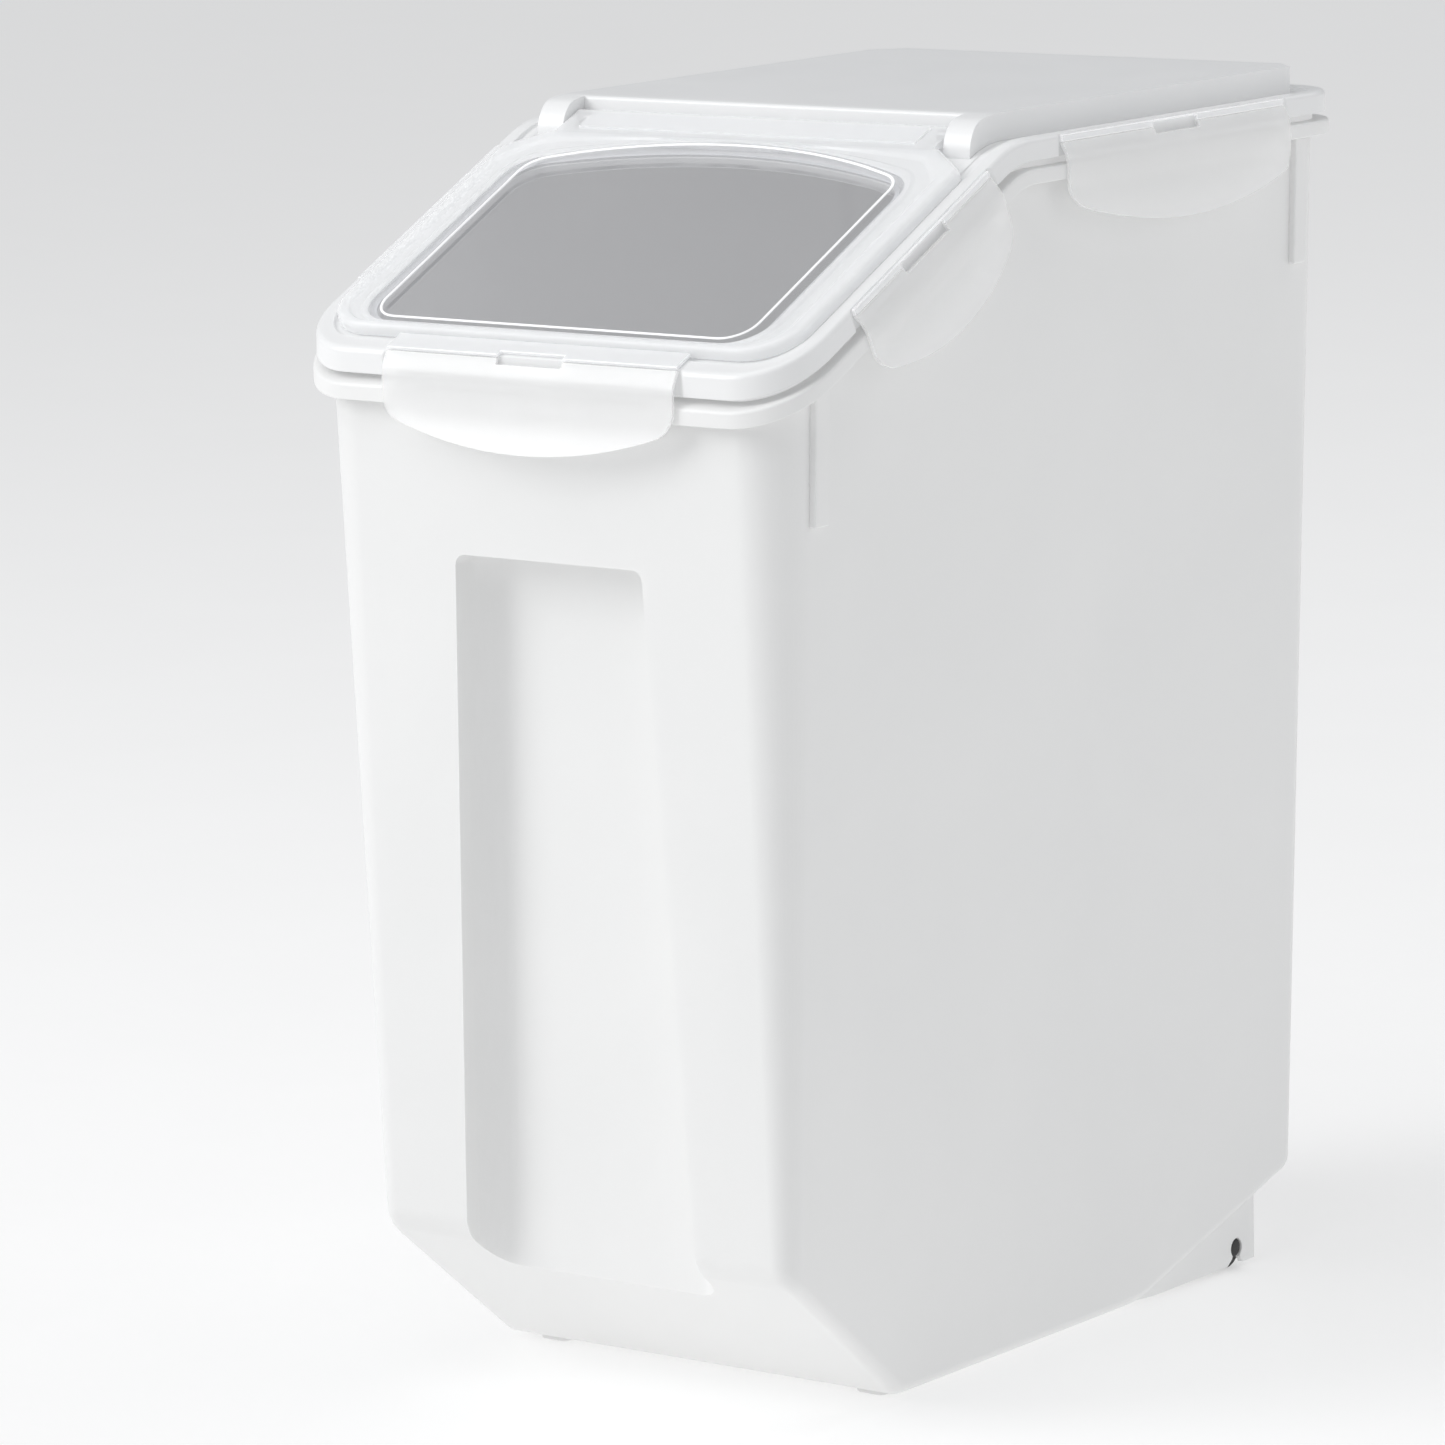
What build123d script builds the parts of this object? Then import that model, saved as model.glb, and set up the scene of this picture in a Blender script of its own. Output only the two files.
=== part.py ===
"""Wheeled pet food bin: a tapered tub with a sloped mouth, a lift-off lid with a flip window,
five strap latches and two rear rollers. Millimetres, +Z up, front at -Y, floor at z = 0."""

import os
from math import cos, radians, sin, tan

from build123d import *

os.makedirs("parts", exist_ok=True)

# ---------------------------------------------------------------- driving dimensions
mid_y = 2.1  # puts the part's bounding box centre at y = 0
floor_gap = 3.0  # height of the feet, so also of the tub's underside
wall = 2.2

# tub, measured at the underside of the rim flange at the rear
rim_z = 483.0
half_width = 117.4
half_depth = 197.9
side_draft = 0.0341  # taper per unit of height
end_draft = 0.032
corner_low = 7.0
corner_high = 24.8
front_chamfer = (75.9, 62.5)  # run along Y, rise along Z
rear_chamfer = (118.3, 36.5)
keel_front_y = -107.8  # the flat underside runs between these two, from the tub's centre
keel_rear_y = 65.4

# rim curve in the side view: flat at the rear, an arc, then a slope down to the front
slope_degrees = 25.9
slope = radians(slope_degrees)
slope_start_y = -40.6  # where the two straight lines would meet, from the tub's centre
bend_radius = 35.0

# plan of the rim flange; everything around the mouth is an inset of it
rim_width = 248.7
rim_depth = 407.1
rim_corner = 30.0
rim_mid_y = mid_y + 1.25

# heights above the rim curve, square to it
flange_rise = 6.0
ledge_thick = 2.0
neck_rise = 11.5
skirt_rise = 9.0
deck_rise = (14.5, 16.5)
lip_rise = 18.0
upstand_top = 19.4
upstand_thick = 2.0
panel_rise = 27.8

# insets from the rim plan
lip_wall = 2.0
neck_inset = (6.9, 9.1)
skirt_inset = (1.5, 3.6)
latch_pocket_inset = 3.2
plug_inset = (10.3, 12.1)
lid_lip_inset = 9.0

# front grip recess
grip_top_z = 345.0
grip_half_width = 46.0
grip_flare = 0.0415
grip_depth = 19.0
grip_corner = 13.0

# side ribs under the flange: Y range from the tub's centre, Z range
rib_reach = 3.0
front_rib = (-174.5, -165.5, 364.0)
rear_rib = (164.5, 173.5, 430.0)

# front feet
foot_x = 80.5
foot_y = -86.0
foot_size = (14.0, 32.0)
foot_corner = 3.0

# rear rollers
wheel_y = 145.0
wheel_radius = 9.5
wheel_x = (76.0, 93.0)
cheek_thick = 2.5
cheek_x = (72.0, 94.5)
cheek_rear_y = 159.0
axle_radius = 4.12
axle_hole_radius = 4.2

# top panel and its hinge ears
panel_half_width = 107.9
panel_rear_y = 191.4
panel_front_y = -39.6
panel_corner = 12.0
ear_inner_x = 95.0
ear_front_y = -55.0
hinge_y = -44.0
hinge_z = 502.0
pin_radius = 2.0

# flip window, on the slope: distances along it from the point where the slope starts
window_half_width = 114.5
window_front = -158.6
window_shoulder = -24.0
window_neck = -9.5
window_neck_half_width = 96.0
window_rise = (17.0, 22.5)
window_skin = 2.2
window_corner = 22.0
pane_half_width = 98.5
pane_front = -154.3
pane_crown = -13.2
pane_spring = -34.0
pane_corner = 17.0
bead_half_width = 92.6
bead_front = -151.7
bead_crown = -14.6
bead_spring = -33.0
bead_corner = 13.0
mouth_half_width = 95.5
mouth_front = -152.5
mouth_crown = -20.5
mouth_spring = -37.0
mouth_corner = 16.0

# latches
strap_thick = 1.4
latch_thick = 1.5
latch_pivot_rise = 14.45
strap_height = 2.8
hinge_gap = 0.3
latch_drop = 36.5
latch_corner = 12.0
slot_length = 32.0
slot_height = (-2.4, 2.2)
slope_latch = (-68.2, 102.0)  # centre along the slope, length
flat_latch = (69.4, 163.0)  # centre along Y from the tub's centre, length
front_latch_length = 143.0

slope_origin = Vector(0, mid_y + slope_start_y, rim_z)
slope_normal = Vector(0, -sin(slope), cos(slope))
slope_up = Vector(0, cos(slope), sin(slope))


# ---------------------------------------------------------------- shared shapes
def slope_plane(rise):
    """Plane parallel to the slope, with local y running up it."""
    return Plane(origin=slope_origin + slope_normal * rise, x_dir=(1, 0, 0), z_dir=slope_normal)


def slope_point(along, rise):
    return slope_origin + slope_up * along + slope_normal * rise


def under_rim(rise):
    """Everything below the rim curve when that is raised by a distance square to itself."""
    radius = bend_radius + rise
    centre_y = slope_origin.Y + bend_radius * tan(slope / 2)
    centre_z = rim_z - bend_radius
    turns = (0, slope / 2, slope)
    on_arc = [(centre_y - radius * sin(turn), centre_z + radius * cos(turn)) for turn in turns]
    reach = 220.0
    foot = (on_arc[2][0] - reach * cos(slope), on_arc[2][1] - reach * sin(slope))
    with BuildPart() as under:
        with BuildSketch(Plane.YZ.offset(-160)):
            with BuildLine():
                ThreePointArc(*on_arc)
                Polyline(on_arc[2], foot, (foot[0], -20), (260, -20), (260, on_arc[0][1]), on_arc[0])
            make_face()
        extrude(amount=320)
    return under.part


def rim_plan(inset, mode=Mode.ADD):
    with Locations((0, rim_mid_y)):
        RectangleRounded(rim_width - 2 * inset, rim_depth - 2 * inset, rim_corner - inset, mode=mode)


def rim_band(outer, inner, low, high):
    """Ring, or plate where inner is None, between two plan insets and two rises."""
    with BuildPart() as band:
        with BuildSketch(Plane.XY.offset(380)):
            rim_plan(outer)
            if inner is not None:
                rim_plan(inner, Mode.SUBTRACT)
        extrude(amount=150)
        add(under_rim(high), mode=Mode.INTERSECT)
        add(under_rim(low), mode=Mode.SUBTRACT)
    return band.part


def tub(grow):
    """The drafted outside of the tub, grown or shrunk sideways."""
    with BuildPart() as shape:
        for z in (floor_gap, rim_z + 20):
            drop = rim_z - z
            share = (z - floor_gap) / (rim_z - floor_gap)
            corner = corner_low + (corner_high - corner_low) * share + grow
            with BuildSketch(Plane.XY.offset(z)):
                with Locations((0, mid_y)):
                    RectangleRounded(
                        2 * (half_width - side_draft * drop + grow),
                        2 * (half_depth - end_draft * drop + grow),
                        corner,
                    )
        loft(ruled=True)
    return shape.part


def keel(shrink):
    """Side outline of the underside: flat, with a steep front chamfer and a shallow rear one."""
    front = (mid_y + keel_front_y, floor_gap)
    rear = (mid_y + keel_rear_y, floor_gap)
    reach = 2.0
    with BuildPart() as shape:
        with BuildSketch(Plane.YZ.offset(-160)):
            with BuildLine():
                Polyline(
                    (front[0] - reach * front_chamfer[0], front[1] + reach * front_chamfer[1]),
                    front,
                    rear,
                    (rear[0] + reach * rear_chamfer[0], rear[1] + reach * rear_chamfer[1]),
                    (rear[0] + reach * rear_chamfer[0], 560),
                    (front[0] - reach * front_chamfer[0], 560),
                    close=True,
                )
            make_face()
            if shrink:
                offset(amount=-shrink)
        extrude(amount=320)
    return shape.part


def grip(grow):
    """The front recess: flared downwards, round inner corners, open at the front and bottom."""
    with BuildPart() as shape:
        for z in (30.0, grip_top_z + grow):
            half = grip_half_width + grip_flare * (grip_top_z - z) + grow
            face_y = mid_y - half_depth + end_draft * (rim_z - z)
            back_y = face_y + grip_depth + grow
            with BuildSketch(Plane.XY.offset(z)) as section:
                with Locations((0, back_y)):
                    Rectangle(2 * half, grip_depth + 40, align=(Align.CENTER, Align.MAX))
                fillet(section.vertices().group_by(Axis.Y)[-1], grip_corner + grow)
        loft(ruled=True)
        top_edges = shape.faces().sort_by(Axis.Z)[-1].edges()
        fillet(top_edges.filter_by(lambda edge: edge.center().Y > face_y - 15), 4 + grow)
    return shape.part


def side_rib(y_low, y_high, z_low):
    """One rib on the right side, standing off the drafted wall."""
    with BuildPart() as rib:
        with BuildSketch(Plane.XY.offset(z_low)):
            with Locations((half_width, mid_y + (y_low + y_high) / 2)):
                Rectangle(30, y_high - y_low)
        extrude(amount=120)
        add(under_rim(1.0), mode=Mode.INTERSECT)
        add(tub(rib_reach), mode=Mode.INTERSECT)
    return rib.part


def wheel_cheek(x_low):
    """One plate of a roller's housing, with the keyhole slot that its axle snaps into."""
    sunk = 1.0
    bottom_z = 2.5
    front_y = mid_y + keel_rear_y
    rear_y = mid_y + cheek_rear_y
    axle_y = mid_y + wheel_y
    chamfer_rise = (rear_y - front_y) * rear_chamfer[1] / rear_chamfer[0]
    with BuildPart() as cheek:
        with BuildSketch(Plane.YZ.offset(x_low)):
            with BuildLine():
                Polyline(
                    (front_y - 4, floor_gap + sunk),
                    (front_y + 15, bottom_z),
                    (rear_y, bottom_z),
                    (rear_y, floor_gap + chamfer_rise + sunk),
                    (front_y, floor_gap + sunk),
                    close=True,
                )
            make_face()
            with Locations((axle_y, wheel_radius)):
                Circle(axle_hole_radius, mode=Mode.SUBTRACT)
            with BuildLine():
                Polyline(
                    (axle_y - 2.9, wheel_radius - 1.5),
                    (axle_y - 3.4, 5.2),
                    (axle_y - 8.5, bottom_z - 1),
                    (axle_y + 5.5, bottom_z - 1),
                    (axle_y + 2.6, 5.2),
                    (axle_y + 2.9, wheel_radius - 1.5),
                    close=True,
                )
            make_face(mode=Mode.SUBTRACT)
        extrude(amount=cheek_thick)
    return cheek.part


def latch_shape(length, rise, hook_reach, hook_radius, hook_drop):
    """A latch panel in its own frame: +X outward, Y along its hinge, Z up, hinge edge at z = 0.

    rise is how far the panel bows out to clear the flange, and the hook is a round bead that
    reaches hook_reach in from there, hook_drop below the hinge."""
    thick = Vector(latch_thick, 0)
    tip = (rise + 4.6, -latch_drop - 1)
    run = [(0, 0), (rise * 0.75, -5), (rise, -9), (rise, hook_drop - 2), (rise + 1.6, -26), tip]
    with BuildPart() as latch:
        with BuildSketch(Plane.XZ.offset(-length / 2)):
            with BuildLine():
                inner = Spline(*run)
                outer = Spline(*[Vector(*point) + thick for point in run])
                Line(inner @ 0, outer @ 0)
                Line(inner @ 1, outer @ 1)
            make_face()
        extrude(amount=length)
        with BuildSketch(Plane.YZ.offset(-20)):
            with BuildLine():
                corner = (length / 2, -latch_drop + 12.5)
                Polyline((-corner[0], corner[1]), (-corner[0], 1), (corner[0], 1), corner)
                ThreePointArc((-corner[0], corner[1]), (0, -latch_drop), corner)
            face = make_face()
            fillet(face.vertices().group_by(Axis.Y)[0], latch_corner)
        extrude(amount=40, mode=Mode.INTERSECT)
        with BuildSketch(Plane.XZ.offset(-length * 0.4)):
            with Locations((rise - hook_reach + hook_radius, hook_drop)):
                Circle(hook_radius)
            with Locations((rise - (hook_reach - hook_radius) / 2 + latch_thick / 4, hook_drop)):
                Rectangle(hook_reach - hook_radius + latch_thick / 2, 2 * hook_radius)
        extrude(amount=length * 0.8)
        with Locations((rise / 2, 0, sum(slot_height) / 2)):
            Box(12, slot_length, slot_height[1] - slot_height[0], mode=Mode.SUBTRACT)
    return latch.part


def strap_shape(length):
    """The strip between a side latch's two hinge lines, in the same frame as the latch."""
    with BuildPart() as strap:
        with Locations((strap_thick / 2, 0, hinge_gap + strap_height / 2)):
            Box(strap_thick, length, strap_height)
        with Locations((strap_thick / 2, 0, sum(slot_height) / 2)):
            Box(12, slot_length, slot_height[1] - slot_height[0], mode=Mode.SUBTRACT)
    return strap.part


def latch_pocket(length, low, high):
    """The pocket in the lid's skirt that a latch lies in, with sloped ends, in the latch's frame."""
    back = -0.3
    open_side = 3.2
    with BuildPart() as pocket:
        with BuildSketch(Plane.XY.offset(low)):
            with BuildLine():
                Polyline(
                    (back, -length / 2 - 1),
                    (open_side, -length / 2 - 4),
                    (open_side, length / 2 + 4),
                    (back, length / 2 + 1),
                    close=True,
                )
            make_face()
        extrude(amount=high - low)
    return pocket.part


def latch_backing(length, low, high):
    """Thickening behind a latch pocket, so that the skirt keeps its wall there."""
    with BuildPart() as backing:
        with Locations((-0.3, 0, low)):
            Box(2.2, length + 6, high - low, align=(Align.MAX, Align.CENTER, Align.MIN))
    return backing.part


def arched_prism(half, front, crown, spring, corner, low, high):
    """Prism on the slope with straight sides and front, and an arched rear edge."""
    with BuildPart() as prism:
        with BuildSketch(slope_plane(low)) as outline:
            with BuildLine():
                Polyline((-half, spring), (-half, front), (half, front), (half, spring))
                ThreePointArc((half, spring), (0, crown), (-half, spring))
            make_face()
            fillet(outline.vertices(), corner)
        extrude(amount=high - low)
    return prism.part


def mouth_prism(grow, low, high):
    """The window mouth in the lid's deck, grown sideways."""
    half = mouth_half_width + grow
    front = mouth_front - grow
    return arched_prism(half, front, mouth_crown + grow, mouth_spring + grow, mouth_corner + grow, low, high)


def pane_prism(grow, low, high):
    """The clear pane's outline, grown sideways."""
    half = pane_half_width + grow
    front = pane_front - grow
    return arched_prism(half, front, pane_crown + grow, pane_spring + grow, pane_corner + grow, low, high)


def bead_prism(grow, low, high):
    """The outline of the bead on the pane, grown sideways."""
    half = bead_half_width + grow
    front = bead_front - grow
    return arched_prism(half, front, bead_crown + grow, bead_spring + grow, bead_corner + grow, low, high)


def window_prism(inset, low, high):
    """The flip window's plan: round front corners, shoulders cut back beside the hinge ears."""
    half = window_half_width - inset
    neck_half = window_neck_half_width - inset * 0.4
    with BuildPart() as prism:
        with BuildSketch(slope_plane(low)) as outline:
            with BuildLine():
                Polyline(
                    (-half, window_front + inset),
                    (half, window_front + inset),
                    (half, window_shoulder - inset * 0.4),
                    (neck_half, window_neck - inset),
                    (-neck_half, window_neck - inset),
                    (-half, window_shoulder - inset * 0.4),
                    close=True,
                )
            make_face()
            corners = outline.vertices().sort_by(Axis.Y)
            fillet(corners[:2], window_corner - inset)
        extrude(amount=high - low)
    return prism.part


def panel_plan(inset, front_y):
    """Plan of the raised top panel, from front_y back to its clipped rear corners."""
    half = panel_half_width - inset
    rear = mid_y + panel_rear_y - inset
    clip = panel_corner - inset * 0.6
    Polygon(
        (-half, front_y),
        (half, front_y),
        (half, rear - clip),
        (half - clip, rear),
        (-half + clip, rear),
        (-half, rear - clip),
        align=None,
    )


# Where each latch hangs. x is the inner face of the strap; the left side mirrors the right.
latch_x = rim_width / 2 - latch_pocket_inset + 0.3
on_slope = slope_point(slope_latch[0], latch_pivot_rise)
side_places = {
    "front": (Location((latch_x, on_slope.Y, on_slope.Z), (slope_degrees, 0, 0)), slope_latch[1]),
    "rear": (Location((latch_x, mid_y + flat_latch[0], rim_z + latch_pivot_rise)), flat_latch[1]),
}
rim_front_y = rim_mid_y - rim_depth / 2
front_pivot_y = rim_front_y + latch_pocket_inset - 0.6
front_pivot_z = rim_z + lip_rise / cos(slope) + (front_pivot_y - slope_origin.Y) * tan(slope) - hinge_gap
front_place = Location((0, front_pivot_y, front_pivot_z), (0, 0, -90))
side_pocket = (skirt_rise - latch_pivot_rise - 2, lip_rise - latch_pivot_rise + 2)
side_backing = (skirt_rise - latch_pivot_rise, deck_rise[0] - latch_pivot_rise + 0.5)
front_pocket = (-13.0, 3.0)
front_backing = (-8.6, -3.0)


# ---------------------------------------------------------------- tub
with BuildPart() as cavity:
    add(tub(-wall))
    add(keel(wall), mode=Mode.INTERSECT)
    add(under_rim(flange_rise + 0.5), mode=Mode.INTERSECT)
    add(grip(wall), mode=Mode.SUBTRACT)

with BuildPart() as bin_body:
    add(tub(0))
    add(keel(0), mode=Mode.INTERSECT)
    add(under_rim(flange_rise - ledge_thick + 0.5), mode=Mode.INTERSECT)
    add(grip(0), mode=Mode.SUBTRACT)
    add(rim_band(0, None, flange_rise - ledge_thick, flange_rise))
    add(rim_band(0, lip_wall, 0, flange_rise))
    for rib in (front_rib, rear_rib):
        right_rib = side_rib(*rib)
        add(right_rib)
        add(mirror(right_rib, about=Plane.YZ, mode=Mode.PRIVATE))
    add(cavity.part, mode=Mode.SUBTRACT)
    add(rim_band(*neck_inset, flange_rise - ledge_thick, neck_rise))
    for x_low in cheek_x:
        right_cheek = wheel_cheek(x_low)
        add(right_cheek)
        add(mirror(right_cheek, about=Plane.YZ, mode=Mode.PRIVATE))
    with BuildSketch():
        with Locations((-foot_x, mid_y + foot_y), (foot_x, mid_y + foot_y)):
            RectangleRounded(*foot_size, foot_corner)
    extrude(amount=floor_gap + 1)
    add(cavity.part, mode=Mode.SUBTRACT)
bin_body.part.label = "bin_body"
export_step(bin_body.part, "parts/bin_body.step")


# ---------------------------------------------------------------- lid
with BuildPart() as lid_frame:
    add(rim_band(skirt_inset[0], None, *deck_rise))
    add(rim_band(skirt_inset[0], skirt_inset[1], skirt_rise, lip_rise))
    add(rim_band(skirt_inset[0], lid_lip_inset, deck_rise[1], lip_rise))
    add(rim_band(*plug_inset, flange_rise + 0.6, deck_rise[0]))
    for place, length in side_places.values():
        backing = latch_backing(length, *side_backing).moved(place)
        pocket = latch_pocket(length, *side_pocket).moved(place)
        for tool, mode in ((backing, Mode.ADD), (pocket, Mode.SUBTRACT)):
            add(tool, mode=mode)
            add(mirror(tool, about=Plane.YZ, mode=Mode.PRIVATE), mode=mode)
    add(latch_backing(front_latch_length, *front_backing).moved(front_place))
    add(latch_pocket(front_latch_length, *front_pocket).moved(front_place), mode=Mode.SUBTRACT)
    add(mouth_prism(upstand_thick, deck_rise[1] - 1, upstand_top))
    add(mouth_prism(0, deck_rise[0] - 2, deck_rise[1] + 4), mode=Mode.SUBTRACT)
lid_frame.part.label = "lid_frame"
export_step(lid_frame.part, "parts/lid_frame.step")

with BuildPart() as lid_seal:
    add(rim_band(neck_inset[0] - 1, neck_inset[1] + 0.8, neck_rise + 0.4, deck_rise[0]))
lid_seal.part.label = "lid_seal"
export_step(lid_seal.part, "parts/lid_seal.step")

panel_front = mid_y + panel_front_y
panel_skin = 2.2
hinge_point = (mid_y + hinge_y, hinge_z)
pin_end_x = 106.0
with BuildPart() as top_panel:
    with BuildSketch(Plane.XY.offset(470)):
        panel_plan(0, panel_front)
    extrude(amount=60)
    with BuildSketch(Plane.XY.offset(470)):
        ear_width = panel_half_width - ear_inner_x
        ear_length = panel_front_y - ear_front_y + 8
        for side in (-1, 1):
            with Locations((side * (ear_inner_x + ear_width / 2), panel_front + 8)):
                Rectangle(ear_width, ear_length, align=(Align.CENTER, Align.MAX))
    extrude(amount=60)
    add(under_rim(panel_rise), mode=Mode.INTERSECT)
    flat_top = top_panel.faces().filter_by(Axis.Z).sort_by(Axis.Z)[-1]
    fillet(flat_top.edges().filter_by(lambda edge: edge.center().Y > panel_front + 9), 1.5)
    with BuildSketch(Plane.XY.offset(460)):
        panel_plan(panel_skin, panel_front + panel_skin)
    extrude(amount=rim_z + panel_rise - panel_skin - 460, mode=Mode.SUBTRACT)
    add(under_rim(deck_rise[1] + 0.05), mode=Mode.SUBTRACT)
    with BuildSketch(Plane.YZ.offset(-pin_end_x)):
        with Locations(hinge_point):
            Circle(pin_radius)
    extrude(amount=2 * pin_end_x, mode=Mode.SUBTRACT)
top_panel.part.label = "top_panel"
export_step(top_panel.part, "parts/top_panel.step")

# ---------------------------------------------------------------- flip window
barrel_radius = 3.4
barrel_half_length = 94.0
pin_length = 20.5
rabbet = 1.8
skin_low = window_rise[1] - window_skin
with BuildPart() as window_frame:
    add(window_prism(0, *window_rise))
    fillet(window_frame.faces().sort_by(Axis((0, 0, 0), slope_normal))[-1].edges(), 2.0)
    add(window_prism(window_skin, window_rise[0] - 1, skin_low), mode=Mode.SUBTRACT)
    tab = [
        slope_point(window_neck - 6, window_rise[1]),
        slope_point(window_neck + 3, window_rise[1]),
        Vector(0, hinge_point[0] - 1.4, hinge_point[1] + 3.1),
        Vector(0, *hinge_point),
        slope_point(window_neck + 3, skin_low - 0.4),
        slope_point(window_neck - 6, skin_low),
    ]
    with BuildSketch(Plane.YZ.offset(-barrel_half_length)):
        with BuildLine():
            Polyline(*[(point.Y, point.Z) for point in tab], close=True)
        make_face()
        with Locations(hinge_point):
            Circle(barrel_radius)
    extrude(amount=2 * barrel_half_length)
    for start in (-pin_end_x, pin_end_x - pin_length):
        with BuildSketch(Plane.YZ.offset(start)):
            with Locations(hinge_point):
                Circle(pin_radius + 0.05)
        extrude(amount=pin_length, mode=Mode.SUBTRACT)
    add(pane_prism(0, skin_low - 1, window_rise[1] + 1), mode=Mode.SUBTRACT)
    add(pane_prism(rabbet, skin_low - 1, skin_low + 1), mode=Mode.SUBTRACT)
window_frame.part.label = "window_frame"
export_step(window_frame.part, "parts/window_frame.step")

pane_play = 0.1
bead_width = 1.2
with BuildPart() as window_pane:
    add(pane_prism(rabbet - pane_play, skin_low, skin_low + 1))
    add(pane_prism(-pane_play, skin_low, skin_low + 1.6))
    add(bead_prism(0, skin_low, skin_low + 2.2))
    add(bead_prism(-bead_width, skin_low + 1.6, skin_low + 3), mode=Mode.SUBTRACT)
window_pane.part.label = "window_pane"
export_step(window_pane.part, "parts/window_pane.step")

with BuildPart() as window_seal:
    add(mouth_prism(upstand_thick - 0.2, upstand_top + 0.1, skin_low))
    add(mouth_prism(0.2, upstand_top - 1, skin_low + 1), mode=Mode.SUBTRACT)
window_seal.part.label = "window_seal"
export_step(window_seal.part, "parts/window_seal.step")

with BuildPart() as window_hinge_pins:
    for start in (-pin_end_x, pin_end_x - pin_length):
        with BuildSketch(Plane.YZ.offset(start)):
            with Locations(hinge_point):
                Circle(pin_radius)
        extrude(amount=pin_length)
window_hinge_pins.part.label = "window_hinge_pins"
export_step(window_hinge_pins.part, "parts/window_hinge_pins.step")

# ---------------------------------------------------------------- straps and latches
bow = 3.5
with BuildPart() as front_strap:
    with BuildSketch(slope_plane(lip_rise + 0.4)):
        with Locations((0, window_front - 0.3)):
            Rectangle(front_latch_length, 10.1, align=(Align.CENTER, Align.MAX))
        with Locations((0, window_front - 10.4)):
            Rectangle(slot_length, 2.4, align=(Align.CENTER, Align.MIN), mode=Mode.SUBTRACT)
    extrude(amount=strap_thick)
front_strap.part.label = "front_strap"
export_step(front_strap.part, "parts/front_strap.step")

with BuildPart() as front_latch:
    add(latch_shape(front_latch_length, bow, 4.6, 1.2, -11.65).moved(front_place))
front_latch.part.label = "front_latch"
export_step(front_latch.part, "parts/front_latch.step")

for end, (place, length) in side_places.items():
    right_strap = strap_shape(length).moved(place)
    right_latch = latch_shape(length, bow, 1.55, 1.5, -latch_pivot_rise - 2.1).moved(place)
    for side in ("right", "left"):
        for kind, shape in (("strap", right_strap), ("latch", right_latch)):
            with BuildPart() as piece:
                add(shape if side == "right" else mirror(shape, about=Plane.YZ, mode=Mode.PRIVATE))
            piece.part.label = f"{kind}_{end}_{side}"
            export_step(piece.part, f"parts/{piece.part.label}.step")

# ---------------------------------------------------------------- rollers
axle_end_x = (72.2, 96.6)
for side, sign in (("right", 1), ("left", -1)):
    axle_centre = (mid_y + wheel_y, wheel_radius)
    with BuildPart() as wheel:
        with BuildSketch(Plane.YZ.offset(sign * wheel_x[0])):
            with Locations(axle_centre):
                Circle(wheel_radius)
        extrude(amount=sign * (wheel_x[1] - wheel_x[0]))
        fillet(wheel.edges().filter_by(GeomType.CIRCLE), 1.2)
        with BuildSketch(Plane.YZ.offset(sign * wheel_x[0])):
            with Locations(axle_centre):
                Circle(axle_radius)
        extrude(amount=sign * (wheel_x[1] - wheel_x[0]), mode=Mode.SUBTRACT)
    wheel.part.label = f"wheel_{side}"
    export_step(wheel.part, f"parts/wheel_{side}.step")

    with BuildPart() as axle:
        with BuildSketch(Plane.YZ.offset(sign * axle_end_x[0])):
            with Locations(axle_centre):
                Circle(axle_radius)
        extrude(amount=sign * (axle_end_x[1] - axle_end_x[0]))
        fillet(axle.edges().filter_by(GeomType.CIRCLE), 1.0)
    axle.part.label = f"wheel_axle_{side}"
    export_step(axle.part, f"parts/wheel_axle_{side}.step")
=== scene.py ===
"""Wheeled pet food bin with a sloped mouth, a flip window and strap latches."""

from math import asin, atan2, cos, hypot, pi, radians, sin, sqrt, tan

import bmesh
import bpy
from mathutils import Matrix, Vector


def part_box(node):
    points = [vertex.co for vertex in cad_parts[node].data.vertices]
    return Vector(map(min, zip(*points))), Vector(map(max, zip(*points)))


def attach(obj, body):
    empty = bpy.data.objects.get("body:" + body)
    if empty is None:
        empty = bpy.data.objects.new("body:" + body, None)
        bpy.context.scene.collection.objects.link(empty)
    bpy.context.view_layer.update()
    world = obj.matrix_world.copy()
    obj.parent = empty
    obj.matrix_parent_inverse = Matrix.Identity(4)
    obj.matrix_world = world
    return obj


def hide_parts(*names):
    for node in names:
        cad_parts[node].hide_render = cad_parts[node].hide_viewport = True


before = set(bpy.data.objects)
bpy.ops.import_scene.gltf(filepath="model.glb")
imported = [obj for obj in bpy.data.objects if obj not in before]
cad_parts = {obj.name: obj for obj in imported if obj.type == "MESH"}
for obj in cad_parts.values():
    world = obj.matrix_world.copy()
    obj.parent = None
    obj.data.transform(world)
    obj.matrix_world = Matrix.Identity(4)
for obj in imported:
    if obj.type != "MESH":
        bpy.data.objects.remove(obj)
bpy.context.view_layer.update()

MM = 0.001


def box_mm(node):
    return [[value / MM for value in corner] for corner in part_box(node)]


# ---------------------------------------------------------------- sizes, in millimetres
# The rim: its plan, and the curve of its front slope, bend and level rear.
tub_low, tub_high = box_mm("bin_body")
RIM_HALF_X = (tub_high[0] - tub_low[0]) / 2
RIM_HALF_Y = (tub_high[1] - tub_low[1]) / 2
RIM_MID_Y = (tub_high[1] + tub_low[1]) / 2
NECK_RISE = 11.5
RIM_Z = tub_high[2] - NECK_RISE
MID_Y = RIM_MID_Y - 1.25  # the tub's own centre
RIM_CORNER = 30.0
SLOPE = radians(25.9)
BEND = 35.0
SLOPE_Y = MID_Y - 40.6

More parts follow.
